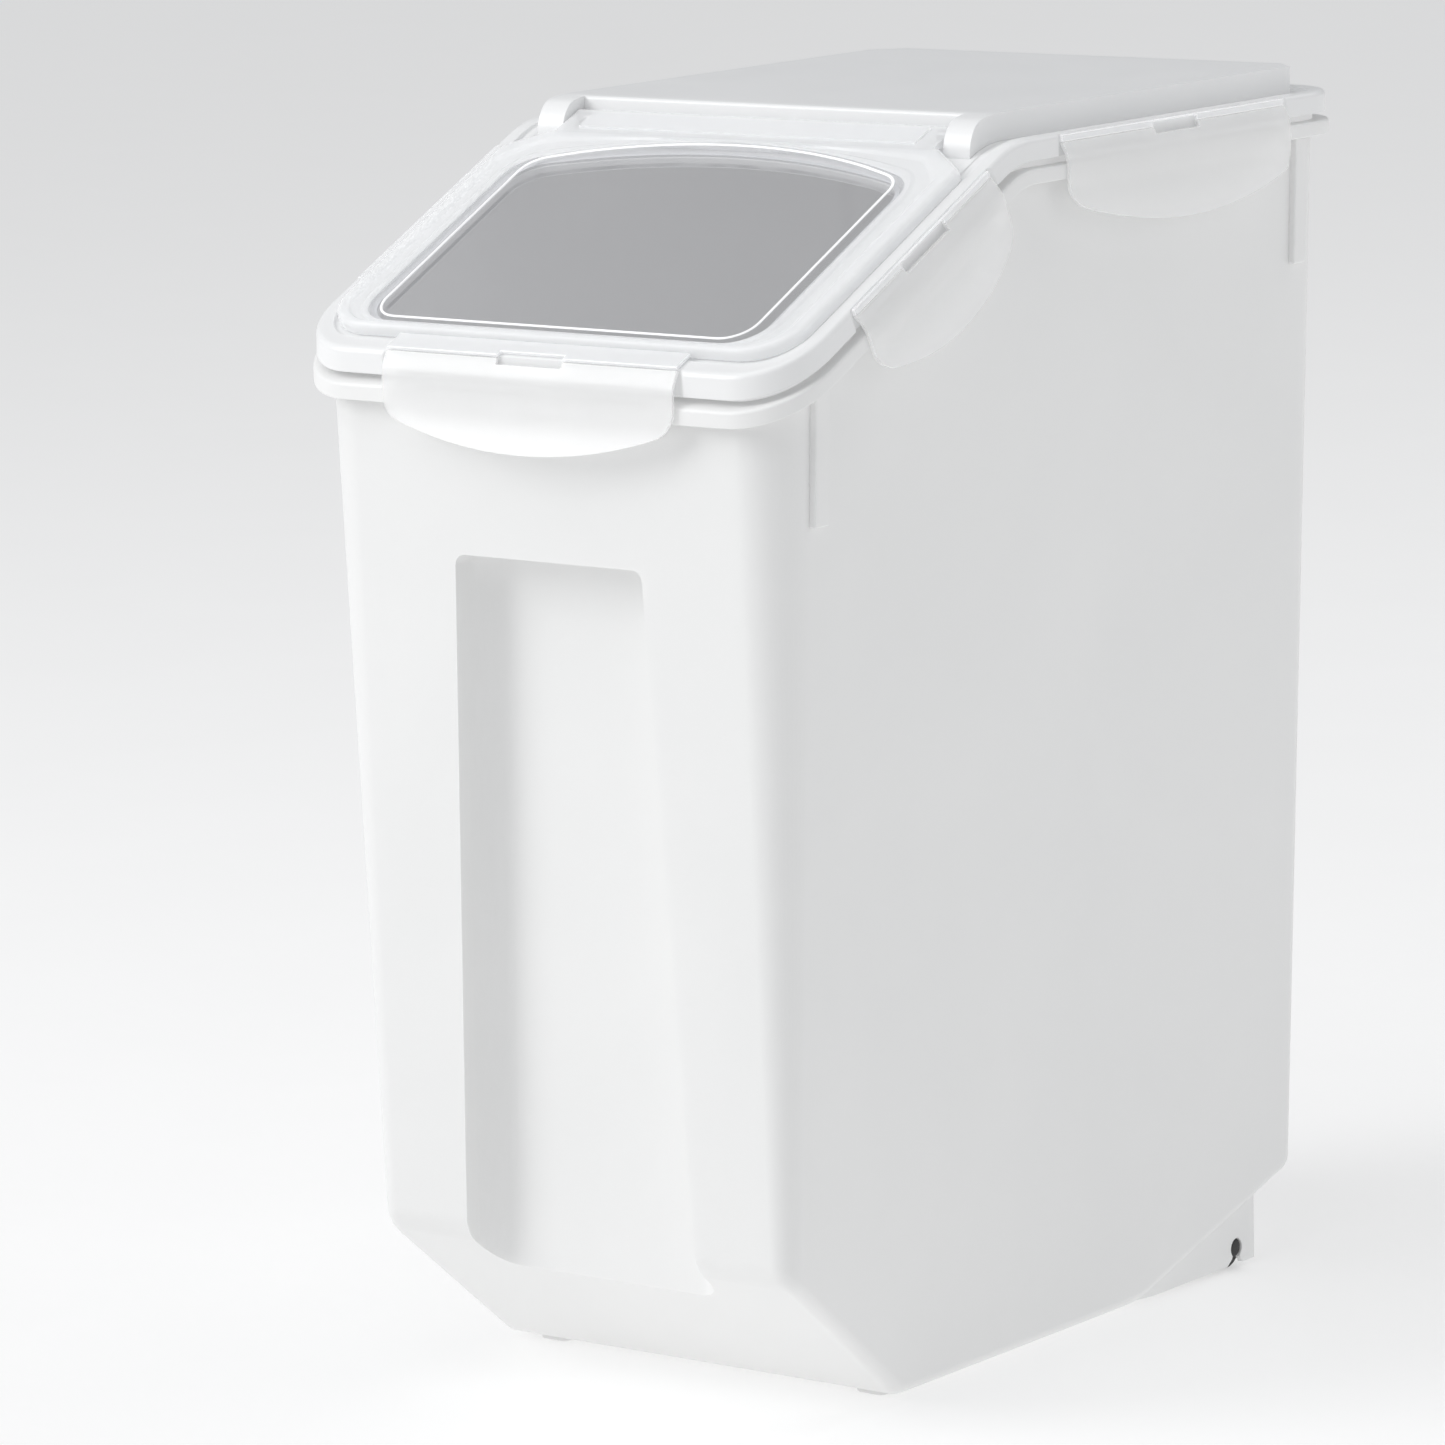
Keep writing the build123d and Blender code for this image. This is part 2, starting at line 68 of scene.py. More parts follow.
# The tub: half sizes at the rim, drafts, corner radii at floor and rim, and the underside's two chamfers.
FLOOR_GAP = 3.0
WALL = 2.2
HALF_WIDTH, HALF_DEPTH = 117.4, 197.9
SIDE_DRAFT, END_DRAFT = 0.0341, 0.032
CORNER_LOW, CORNER_HIGH = 7.0, 24.8
KEEL_FRONT, KEEL_REAR, KEEL_SOFT, KEEL_EDGE = -107.8, 65.4, 1.2, 5.2
FRONT_RATE, REAR_RATE = 62.5 / 75.9, 36.5 / 118.3
EDGE_STEPS, CORNER_STEPS, CAP_STEPS = 6, 14, 6

# The front recess.
GRIP_TOP, GRIP_HALF, GRIP_FLARE, GRIP_DEPTH, GRIP_CORNER = 345.0, 46.0, 0.0415, 19.0, 13.0
GRIP_CROWN = 4.5

# Rises above the rim curve, square to it.
FLANGE_TOP, LEDGE_LOW, SKIRT_LOW, DECK_LOW, DECK_TOP, LIP_TOP = 6.0, 3.4, 9.0, 14.5, 16.5, 18.0
PLUG_LOW, MOUTH_TOP, PANEL_RISE = 6.6, 19.4, 27.8

# Insets from the rim's plan.
NECK_OUTER, NECK_INNER, SKIRT_OUTER, SKIRT_INNER, LIP_INNER = 6.9, 9.1, 1.5, 3.6, 9.0
PLUG_OUTER, PLUG_INNER, DECK_INSET = 10.3, 12.1, 13.5
SIDE_POCKET, FRONT_POCKET, POCKET_SIDE = 3.2, 2.9, 3.4

# The latches: (middle, length) along their hinges, and the pivots' places.
SLOPE_LATCH, FLAT_LATCH, FRONT_LATCH = (-68.2, 102.0), (69.4, 163.0), 143.0
LATCH_DROP = 36.5
PIVOT_RISE = 14.45
LATCH_X = RIM_HALF_X - SIDE_POCKET + 0.3
FRONT_LATCH_INSET = 2.6

bend_y = SLOPE_Y + BEND * tan(SLOPE / 2)
slope_up = Vector((0, cos(SLOPE), sin(SLOPE)))
slope_normal = Vector((0, -sin(SLOPE), cos(SLOPE)))
slope_origin = Vector((0, SLOPE_Y, RIM_Z))


# ---------------------------------------------------------------- shape helpers
def rim_height(y, rise):
    """Height of the rim curve, raised square to itself, above a place on the Y axis."""
    radius = BEND + rise
    back = bend_y - y
    if back <= 0:
        return RIM_Z + rise
    if back <= radius * sin(SLOPE):
        return RIM_Z - BEND + sqrt(radius * radius - back * back)
    return RIM_Z + rise / cos(SLOPE) + (y - SLOPE_Y) * tan(SLOPE)


def rim_tilt(y):
    """Angle of the rim curve at a place on the Y axis."""
    return asin(min(max((bend_y - y) / BEND, 0.0), sin(SLOPE)))


def on_slope(x, along, rise):
    point = slope_origin + slope_up * along + slope_normal * rise
    return Vector((x, point.y, point.z))


def ease(value):
    value = min(max(value, 0.0), 1.0)
    return value * value * (3 - 2 * value)


def rounded(points, radii, segments=6):
    """A closed outline with each corner turned into an arc."""
    out = []
    count = len(points)
    for i, point in enumerate(points):
        radius = radii[i] if isinstance(radii, (list, tuple)) else radii
        here = Vector(point)
        before = Vector(points[i - 1]) - here
        after = Vector(points[(i + 1) % count]) - here
        room = 0.49 * min(before.length, after.length)
        before.normalize()
        after.normalize()
        angle = before.angle(after)
        if radius <= 0 or abs(angle - pi) < 1e-4:
            out.append(here)
            continue
        reach = min(radius / tan(angle / 2), room)
        radius = reach * tan(angle / 2)
        centre = here + (before + after).normalized() * (radius / sin(angle / 2))
        start = here + before * reach - centre
        end = here + after * reach - centre
        first = atan2(start.y, start.x)
        turn = (atan2(end.y, end.x) - first + pi) % (2 * pi) - pi
        for k in range(segments + 1):
            a = first + turn * k / segments
            out.append(centre + Vector((cos(a), sin(a))) * radius)
    return out


def resampled(points, count):
    """count points spread evenly along an open line."""
    lengths = [0.0]
    for a, b in zip(points, points[1:]):
        lengths.append(lengths[-1] + (b - a).length)
    out = []
    j = 0
    for i in range(count):
        want = lengths[-1] * i / (count - 1)
        while j < len(points) - 2 and lengths[j + 1] < want:
            j += 1
        span = lengths[j + 1] - lengths[j]
        out.append(points[j].lerp(points[j + 1], (want - lengths[j]) / span if span else 0))
    return out


def spline(points, x):
    """Smooth curve through points that are sorted by x, as a height."""
    n = len(points) - 1
    xs, ys = [p[0] for p in points], [p[1] for p in points]
    h = [xs[i + 1] - xs[i] for i in range(n)]
    lower, upper, rhs = [0.0] * (n + 1), [0.0] * (n + 1), [0.0] * (n + 1)
    for i in range(1, n):
        d = 2 * (xs[i + 1] - xs[i - 1]) - h[i - 1] * upper[i - 1]
        upper[i] = h[i] / d
        slope_change = 3 * ((ys[i + 1] - ys[i]) / h[i] - (ys[i] - ys[i - 1]) / h[i - 1])
        rhs[i] = (slope_change - h[i - 1] * rhs[i - 1]) / d
    lower[n] = 0.0
    for i in range(n - 1, -1, -1):
        lower[i] = rhs[i] - upper[i] * lower[i + 1]
    i = max(0, min(n - 1, sum(1 for value in xs[1:-1] if x >= value)))
    b = (ys[i + 1] - ys[i]) / h[i] - h[i] * (lower[i + 1] + 2 * lower[i]) / 3
    t = x - xs[i]
    return ys[i] + t * (b + t * (lower[i] + t * (lower[i + 1] - lower[i]) / (3 * h[i])))


class Shape:
    """Vertices in millimetres, and faces."""

    def __init__(self):
        self.verts = []
        self.faces = []

    def add(self, points):
        start = len(self.verts)
        self.verts.extend(Vector(point) for point in points)
        return list(range(start, len(self.verts)))

    def loft(self, loops, ring=True, tube=False, caps=False):
        """Quads between neighbouring loops of equal length."""
        ids = [self.add(loop) for loop in loops]
        pairs = list(zip(ids, ids[1:])) + ([(ids[-1], ids[0])] if tube else [])
        for a, b in pairs:
            n = len(a)
            for i in range(n if ring else n - 1):
                j = (i + 1) % n
                self.faces.append((a[i], a[j], b[j], b[i]))
        if caps:
            self.faces.append(tuple(reversed(ids[0])))
            self.faces.append(tuple(ids[-1]))

    def extrude(self, outline, low, high):
        """Prism of a flat outline: low and high map an outline point to a place."""
        self.loft([[low(p) for p in outline], [high(p) for p in outline]], caps=True)

    def mesh(self, name):
        mesh = bpy.data.meshes.new(name)
        mesh.from_pydata([v * MM for v in self.verts], [], self.faces)
        bm = bmesh.new()
        bm.from_mesh(mesh)
        bmesh.ops.remove_doubles(bm, verts=bm.verts, dist=1e-4 * MM)
        bmesh.ops.dissolve_degenerate(bm, edges=bm.edges, dist=1e-5 * MM)
        bmesh.ops.recalc_face_normals(bm, faces=bm.faces)
        bm.to_mesh(mesh)
        bm.free()
        return mesh


def new_object(name, mesh):
    obj = bpy.data.objects.new(name, mesh)
    bpy.context.scene.collection.objects.link(obj)
    return obj


def cut(obj, tool):
    """Take the tool out of the object; the tool goes."""
    modifier = obj.modifiers.new("cut", "BOOLEAN")
    modifier.operation = "DIFFERENCE"
    modifier.solver = "EXACT"
    modifier.object = tool
    mesh = bpy.data.meshes.new_from_object(obj.evaluated_get(bpy.context.evaluated_depsgraph_get()))
    obj.modifiers.clear()
    obj.data = mesh
    bpy.data.objects.remove(tool)


def bevel_edges(obj, wanted, width, segments, least=30.0):
    """Round off the sharp edges for which wanted(middle of the edge in mm) is true."""
    bm = bmesh.new()
    bm.from_mesh(obj.data)
    edges = []
    for edge in bm.edges:
        if len(edge.link_faces) != 2 or edge.calc_face_angle(0) < radians(least):
            continue
        if wanted((edge.verts[0].co + edge.verts[1].co) / 2 / MM):
            edges.append(edge)
    bmesh.ops.bevel(
        bm, geom=edges, offset=width * MM, segments=segments, profile=0.5, affect="EDGES", clamp_overlap=True
    )
    bm.to_mesh(obj.data)
    bm.free()


def finish_mesh(obj, bevel, segments, sharp, edge):
    """Smooth shading with crisp edges where the surface turns sharply."""
    obj.data.polygons.foreach_set("use_smooth", [True] * len(obj.data.polygons))
    if bevel:
        modifier = obj.modifiers.new("bevel", "BEVEL")
        modifier.width = bevel * MM
        modifier.segments = segments
        modifier.limit_method = "ANGLE"
        modifier.angle_limit = radians(sharp)
        modifier.harden_normals = True
        modifier.use_clamp_overlap = True
        # Bevel faces take the edge material, which on the latches and straps glows as a painted edge
        # highlight.
        modifier.material = edge
    else:
        obj.data.set_sharp_from_angle(angle=radians(sharp))
    weighted = obj.modifiers.new("weighted", "WEIGHTED_NORMAL")
    weighted.keep_sharp = True


def piece(name, shape_or_obj, body, material, nodes=(), bevel=0.0, segments=2, sharp=32.0, edge=None):
    obj = shape_or_obj
    if isinstance(shape_or_obj, Shape):
        obj = new_object(name, shape_or_obj.mesh(name))
    obj.name = name
    obj.data.materials.clear()
    obj.data.materials.append(material)
    if edge:
        obj.data.materials.append(edge)
    finish_mesh(obj, bevel, segments, sharp, 1 if edge else -1)
    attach(obj, body)
    if nodes:
        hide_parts(*nodes)


# ---------------------------------------------------------------- materials
def moulded(name, colour, tint, roughness, spread, bump, grain, **inputs):
    """Moulded plastic or rubber: a faint flow pattern in colour and gloss, and a fine surface grain."""
    material = bpy.data.materials.new(name)
    material.use_nodes = True
    nodes, links = material.node_tree.nodes, material.node_tree.links
    shader = next(node for node in nodes if node.type == "BSDF_PRINCIPLED")
    where = nodes.new("ShaderNodeTexCoord")
    flow = nodes.new("ShaderNodeTexNoise")
    flow.inputs["Scale"].default_value = 9.0
    flow.inputs["Detail"].default_value = 3.0
    flow.inputs["Distortion"].default_value = 0.6
    links.new(where.outputs["Object"], flow.inputs["Vector"])
    colours = nodes.new("ShaderNodeValToRGB")
    colours.color_ramp.elements[0].position = 0.3
    colours.color_ramp.elements[0].color = (*tint, 1)
    colours.color_ramp.elements[1].position = 0.7
    colours.color_ramp.elements[1].color = (*colour, 1)
    links.new(flow.outputs["Fac"], colours.inputs["Fac"])
    links.new(colours.outputs["Color"], shader.inputs["Base Color"])
    cloud = nodes.new("ShaderNodeTexNoise")
    cloud.inputs["Scale"].default_value = 38.0
    cloud.inputs["Detail"].default_value = 4.0
    links.new(where.outputs["Object"], cloud.inputs["Vector"])
    gloss = nodes.new("ShaderNodeMapRange")
    gloss.inputs["To Min"].default_value = roughness - spread
    gloss.inputs["To Max"].default_value = roughness + spread
    links.new(cloud.outputs["Fac"], gloss.inputs["Value"])
    links.new(gloss.outputs["Result"], shader.inputs["Roughness"])
    fine = nodes.new("ShaderNodeTexNoise")
    fine.inputs["Scale"].default_value = grain
    fine.inputs["Detail"].default_value = 2.0
    links.new(where.outputs["Object"], fine.inputs["Vector"])
    relief = nodes.new("ShaderNodeBump")
    relief.inputs["Strength"].default_value = bump
    relief.inputs["Distance"].default_value = 0.0004
    links.new(fine.outputs["Fac"], relief.inputs["Height"])
    links.new(relief.outputs["Normal"], shader.inputs["Normal"])
    for key, value in inputs.items():
        shader.inputs[key.replace("_", " ")].default_value = value
    return material


# The tub plastic carries a faint emission: a painted glow that lifts its shaded gaps and undersides.
white_tub = moulded("white_tub", (0.868, 0.868, 0.862), (0.846, 0.847, 0.842), 0.36, 0.04, 0.1, 700.0,
                    Subsurface_Weight=0.12, Subsurface_Radius=(0.006, 0.006, 0.006), Subsurface_Scale=1.0,
                    Emission_Color=(1, 1, 1, 1), Emission_Strength=0.03)
# The lid plastic carries a faint emission: a painted glow that lifts its shaded gaps.
white_lid = moulded("white_lid", (0.89, 0.893, 0.894), (0.872, 0.876, 0.878), 0.3, 0.04, 0.06, 500.0,
                    Subsurface_Weight=0.12, Subsurface_Radius=(0.005, 0.005, 0.005), Subsurface_Scale=1.0,
                    Emission_Color=(1, 1, 1, 1), Emission_Strength=0.02)
# Strong emission on the rim neck: a painted glow that lightens the shaded gap between the lid's skirt and the
# flange.
neck_glow_white = moulded("neck_glow_white", (0.9, 0.9, 0.9), (0.88, 0.88, 0.88), 0.4, 0.04, 0.06, 500.0,
                     Emission_Color=(1, 1, 1, 1), Emission_Strength=0.22)
# The window tray and straps: their emission is a painted glow that stands in for light scattered through the
# translucent plastic.
milky_glow = moulded("milky_glow", (0.97, 0.975, 0.98), (0.95, 0.958, 0.966), 0.24, 0.04, 0.06, 420.0, Alpha=0.6,
                Subsurface_Weight=0.5, Subsurface_Radius=(0.005, 0.005, 0.005), Subsurface_Scale=1.0,
                Emission_Color=(0.97, 0.98, 1, 1), Emission_Strength=0.1)
clear = moulded("clear", (0.9, 0.9, 0.93), (0.88, 0.88, 0.91), 0.05, 0.02, 0.02, 90.0, Alpha=0.2)
# The latches use a copy of the milky plastic with a darker base and weaker emission. The emission is a
# painted glow for light scattered through them, kept lower so the latch faces don't burn out.
milky_latch_glow = moulded("milky_latch_glow", (0.96, 0.962, 0.96), (0.94, 0.943, 0.942), 0.2, 0.04, 0.05, 420.0,
                      Alpha=0.52, Subsurface_Weight=0.4, Subsurface_Radius=(0.005, 0.005, 0.005),
                      Subsurface_Scale=1.0, Emission_Color=(1, 1, 1, 1), Emission_Strength=0.07)
# The bevelled edges of latches and straps: a brighter, glowing band, a painted highlight along their edges.
milky_edge_glow = moulded("milky_edge_glow", (0.99, 0.99, 1.0), (0.97, 0.975, 0.985), 0.2, 0.04, 0.04, 420.0,
                     Alpha=0.85, Emission_Color=(1, 1, 1, 1), Emission_Strength=0.16)
# The window's bead: its emission paints a highlight line round the pane.
bead_glow = moulded("clear_bead_glow", (0.98, 0.98, 0.99), (0.96, 0.96, 0.97), 0.1, 0.02, 0.02, 90.0, Alpha=0.8,
                 Emission_Color=(1, 1, 1, 1), Emission_Strength=0.25)
silicone = moulded("silicone", (0.78, 0.79, 0.8), (0.75, 0.76, 0.77), 0.55, 0.05, 0.15, 900.0)
black = moulded("black", (0.014, 0.014, 0.015), (0.02, 0.02, 0.021), 0.5, 0.08, 0.2, 900.0)
steel = moulded("steel", (0.55, 0.55, 0.56), (0.5, 0.5, 0.51), 0.3, 0.08, 0.1, 1500.0, Metallic=1.0)


# ---------------------------------------------------------------- tub
def tub_sizes(z, grow):
    drop = RIM_Z - z
    share = (z - FLOOR_GAP) / (RIM_Z - FLOOR_GAP)
    return (
        HALF_WIDTH - SIDE_DRAFT * drop + grow,
        HALF_DEPTH - END_DRAFT * drop + grow,
        max(CORNER_LOW + (CORNER_HIGH - CORNER_LOW) * share + grow, 1.0),
    )


def keel_height(y, shrink):
    """Height of the underside, moved in by shrink square to itself."""
    y -= MID_Y
    front = (KEEL_FRONT - y) * FRONT_RATE + shrink * (hypot(1, FRONT_RATE) - 1)
    rear = (y - KEEL_REAR) * REAR_RATE + shrink * (hypot(1, REAR_RATE) - 1)
    chamfer = max(front, rear)
    return FLOOR_GAP + shrink + (chamfer + sqrt(chamfer * chamfer + KEEL_SOFT * KEEL_SOFT)) / 2


def tub_columns():
    """Both halves of the plan, from front to rear: ("side", sign, y) or ("arc", sign, end's sign, angle)."""
    bend = [SLOPE_Y - MID_Y - 20 + 2.2 * i for i in range(16)]
    flat = [-165, -150, -135, -75, 0, 20, 40, 115, 140, 165]
    flat += [fold + d for fold in (KEEL_FRONT, KEEL_REAR) for d in (-12, -7, -4, -2, 0, 2, 4, 7, 12)]
    side = sorted(bend + flat)
    angles = [pi / 2 * k / CORNER_STEPS for k in range(CORNER_STEPS + 1)]
    columns = []
    for sx in (1, -1):
        run = [("side", sx, y) for y in side]
        front, rear = [[("arc", sx, sy, angle) for angle in angles] for sy in (-1, 1)]
        columns.append(front + run + list(reversed(rear)))
    return columns


STRAIGHT_HALF, SPREAD = 60.0, 115.0  # columns nearer the middle stay upright, the others fan out


def tub_solid(name, grow, top_rise):
    """The drafted tub as a closed solid, from its underside up to the rim curve."""
    floor_half_y, floor_corner = tub_sizes(FLOOR_GAP, grow)[1:]

    def place(column, z, inset=0.0):
        half_x, half_y, corner = tub_sizes(z, grow - inset)
        if column[0] == "side":
            y = column[2]
            if abs(y) >= STRAIGHT_HALF:
                reach = (half_y - corner) / (floor_half_y - floor_corner)
                y *= 1 + (reach - 1) * (abs(y) - STRAIGHT_HALF) / SPREAD
            return Vector((column[1] * half_x, MID_Y + y, z))
        angle = column[3]
        return Vector((
            column[1] * (half_x - corner + corner * sin(angle)),
            MID_Y + column[2] * (half_y - corner + corner * cos(angle)),
            z,
        ))

    def settle(column, height, inset=0.0):
        """The column's place on a surface: the height and the drafted wall agree after a few rounds."""
        z = 200.0
        for _ in range(14):
            z = height(place(column, z, inset).y)
        return place(column, z, inset)

    def across(a, b):
        return [a.lerp(b, k / CAP_STEPS) for k in range(CAP_STEPS + 1)]

    edge = KEEL_EDGE + grow
    runs = tub_columns()
    levels = []
    for k in range(EDGE_STEPS + 1):
        angle = pi / 2 * k / EDGE_STEPS
        inset, lift = edge * (1 - sin(angle)), edge * (1 - cos(angle)) - grow
        levels.append([[settle(c, lambda y: keel_height(y, lift), inset) for c in run] for run in runs])
    levels.append([[settle(c, lambda y: rim_height(y, top_rise)) for c in run] for run in runs])
    shape = Shape()
    for level in (levels[0], levels[-1]):
        shape.loft([across(a, b) for a, b in zip(*level)], ring=False)
    for side in (0, 1):
        shape.loft([level[side] for level in levels], ring=False)
    for end in (0, -1):
        shape.loft([across(level[0][end], level[1][end]) for level in levels], ring=False)
    return new_object(name, shape.mesh(name))


def grip_solid(name, grow):
    """The front recess as a solid, with its ceiling rounded into its back and sides."""
    crown = GRIP_CROWN + grow
    spring = GRIP_TOP + grow - crown
    levels = [20.0, 120.0, 230.0]
    levels += [spring + crown * sin(pi / 2 * k / EDGE_STEPS) for k in range(EDGE_STEPS + 1)]
    loops = []
    for z in levels:
        over = max(0.0, z - spring)
        shrink = crown - sqrt(max(crown * crown - over * over, 0.0))
        half = GRIP_HALF + GRIP_FLARE * (GRIP_TOP - z) + grow - shrink
        face = MID_Y - HALF_DEPTH + END_DRAFT * (RIM_Z - z)
        back = face + GRIP_DEPTH + grow - shrink
        outline = [(-half, face - 30), (half, face - 30), (half, back), (-half, back)]
        corner = GRIP_CORNER + grow - shrink
        loops.append([(x, y, z) for x, y in rounded(outline, [0, 0, corner, corner], 9)])
    shape = Shape()
    shape.loft(loops, caps=True)
    return new_object(name, shape.mesh(name))


def near_grip(p):
    return p.y < MID_Y - 150 and abs(p.x) < 66 and 40 < p.z < GRIP_TOP + 8


GRIP_EDGE = 1.8
tub = tub_solid("tub", 0, FLANGE_TOP - 1)
cut(tub, grip_solid("grip", 0))
bevel_edges(tub, near_grip, GRIP_EDGE, 3, 28)
hollow = tub_solid("hollow", -WALL, FLANGE_TOP + 2)
cut(hollow, grip_solid("inner_grip", WALL))
cut(tub, hollow)
piece("tub_shell", tub, "bin", white_tub, ["bin_body"])


# ---------------------------------------------------------------- bands round the rim
RIM_STEPS, LEAST_GAP = 12, 0.4


def spaced(places, low, high):
    """The places between low and high, in order, without near repeats."""
    out = []
    for place in sorted(places):
        if low <= place <= high and (not out or place - out[-1] > LEAST_GAP):
            out.append(place)
    return out


def rim_columns():
    """Columns round the rim: base point, outward direction, and how far it leans square to the curve."""
    base_x, base_y = RIM_HALF_X - RIM_CORNER, RIM_HALF_Y - RIM_CORNER
    front, rear = RIM_MID_Y - base_y, RIM_MID_Y + base_y

    def ends(centre, length):
        return [centre + s * (length / 2 + d) for s in (-1, 1) for d in (-1, 0.6, 1.4, 2.1, 2.8, 3.4, 4, 6)]

    places = {rear, front}
    places.update(bend_y - BEND * sin(SLOPE) - 4 + 2.0 * i for i in range(13))
    places.update(MID_Y + y for y in ends(*FLAT_LATCH))
    places.update(SLOPE_Y + s * cos(SLOPE) for s in ends(*SLOPE_LATCH))
    places.update(front + 12.0 * i for i in range(1, 29))
    side = spaced(places, front - 0.01, rear + 0.01)
    across = spaced(set(ends(0, FRONT_LATCH)) | {-94.0 + 188.0 * i / 16 for i in range(17)}, -base_x, base_x)
    columns = [(base_x, y, 1, 0, ease((y - front - 2) / 18)) for y in side]

    def corner(sx, sy, first):
        for k in range(1, RIM_STEPS):
            a = first + pi / 2 * k / RIM_STEPS
            columns.append((sx * base_x, RIM_MID_Y + sy * base_y, cos(a), sin(a), 0))

    corner(1, 1, 0)
    columns.extend((x, RIM_MID_Y + base_y, 0, 1, 0) for x in reversed(across))
    corner(-1, 1, pi / 2)
    columns.extend((-x, y, -1, 0, lean) for x, y, _, _, lean in reversed(columns[: len(side)]))
    corner(-1, -1, pi)
    columns.extend((x, RIM_MID_Y - base_y, 0, -1, 0) for x in across)
    corner(1, -1, 3 * pi / 2)
    return columns


rim_ring = rim_columns()


def rim_point(column, inset, rise):
    x, y, nx, ny, lean = column
    out = RIM_CORNER - inset
    y_place = y + ny * out - rise * sin(rim_tilt(y)) * lean
    return Vector((x + nx * out, y_place, rim_height(y_place, rise)))


def pocket_inset(column):
    """How far the skirt is set back here for a latch, or 0."""
    x, y, nx, ny, _ = column
    if abs(nx) == 1:
        slanted = y < SLOPE_Y
        centre, length = SLOPE_LATCH if slanted else FLAT_LATCH
        away = abs((y - SLOPE_Y) / cos(SLOPE) - centre) if slanted else abs(y - MID_Y - centre)
        depth = SIDE_POCKET
    elif ny == -1:
        away, length, depth = abs(x), FRONT_LATCH, FRONT_POCKET
    else:
        return 0.0
    return depth * (1 - min(max((away - length / 2 - 0.8) / POCKET_SIDE, 0.0), 1.0))


def band(shape, profile, radii, segments=3, pocketed=False):
    """Sweep a closed (inset, rise) profile round the rim."""
    outline = rounded(profile, radii, segments)
    loops = []
    for column in rim_ring:
        pocket = pocket_inset(column) if pocketed else 0.0
        line = [(max(p.x, pocket) if p.x < SKIRT_INNER - 0.2 else p.x, p.y) for p in outline]
        loops.append([rim_point(column, inset, rise) for inset, rise in line])
    shape.loft(loops, tube=True)


flange = Shape()
band(flange, [(0, 0), (0, FLANGE_TOP), (NECK_INNER, FLANGE_TOP), (NECK_INNER, LEDGE_LOW),
              (2, LEDGE_LOW), (2, 0)], [0.5, 1.1, 0, 0, 0.6, 0.5])
piece("rim_flange", flange, "bin", white_tub)
# The neck's material glows, a painted lightening of the shaded gap under the lid's skirt.
neck = Shape()
band(neck, [(NECK_OUTER, 5), (NECK_OUTER, NECK_RISE), (NECK_INNER, NECK_RISE), (NECK_INNER, 5)],
     [0, 0.7, 0.7, 0])
piece("rim_neck", neck, "bin", neck_glow_white)

lid = Shape()
band(lid, [(SKIRT_OUTER, SKIRT_LOW), (SKIRT_OUTER, LIP_TOP), (LIP_INNER, LIP_TOP), (LIP_INNER, DECK_TOP),
           (DECK_INSET + 0.5, DECK_TOP), (DECK_INSET + 0.5, DECK_LOW), (SKIRT_INNER, DECK_LOW),
           (SKIRT_INNER, SKIRT_LOW)],
     [0.5, 2.0, 1.2, 0.8, 0, 0, 0.8, 0.5], 4, True)
band(lid, [(PLUG_OUTER, PLUG_LOW), (PLUG_OUTER, DECK_LOW + 0.5), (PLUG_INNER, DECK_LOW + 0.5),
           (PLUG_INNER, PLUG_LOW)], [0.6, 0, 0, 0.6])
piece("lid_rim", lid, "lid", white_lid, ["lid_frame"])


# ---------------------------------------------------------------- lid deck and window mouth
def arched(sizes, grow):
    """Outline with straight sides and front, and an arched rear edge, moved out by grow.

    sizes are its half width, front edge, the arch's crown and spring, and the corners' radius.
    """
    half, front, crown, spring, corner = sizes
    half, crown, spring, corner = half + grow, crown + grow, spring + grow, corner + grow
    front -= grow
    rise = crown - spring
    radius = (half * half + rise * rise) / (2 * rise)
    reach = half - 22
    places = [reach - reach * k / 10 for k in range(21)]
    arch = [(x, crown - radius + sqrt(radius * radius - x * x)) for x in places]
    points = [(-half, spring), (-half, front), (half, front), (half, spring)] + arch
    return rounded(points, [corner] * 4 + [0] * len(arch), 8)


def plate(levels):
    """A closed plate from its lower and upper grids of points."""
    shape = Shape()
    for level in levels:
        shape.loft(level, ring=False)
    for side in (0, -1):
        shape.loft([[row[side] for row in level] for level in levels], ring=False)
        shape.loft([level[side] for level in levels], ring=False)
    return shape


MOUTH = (95.5, -152.5, -20.5, -37, 16)


def sloped(outline, rise):
    return [on_slope(p.x, p.y, rise) for p in outline]


east = [column for column in rim_ring if column[0] > 0 and column[2] > 1e-6]
rungs = sorted(east, key=lambda c: rim_point(c, DECK_INSET, 15).y)
levels = []
for rise in (DECK_LOW, DECK_TOP):
    edge = [rim_point(c, DECK_INSET, rise) for c in rungs]
    levels.append([[Vector((p.x * k / 4, p.y, p.z)) for k in range(-4, 5)] for p in edge])
deck = new_object("deck", plate(levels).mesh("deck"))
mouth_tool = Shape()
mouth_tool.loft([sloped(arched(MOUTH, 0), rise) for rise in (DECK_LOW - 4, DECK_TOP + 5)], caps=True)
cut(deck, new_object("mouth", mouth_tool.mesh("mouth")))
piece("lid_deck", deck, "lid", white_lid)

upstand = Shape()
profile = rounded([(0, DECK_LOW), (0, MOUTH_TOP), (2, MOUTH_TOP), (2, DECK_LOW)], [0.4, 0.8, 0.8, 0], 3)
upstand.loft([sloped(arched(MOUTH, p.x), p.y) for p in profile], tube=True)
piece("mouth_rim", upstand, "lid", white_lid)


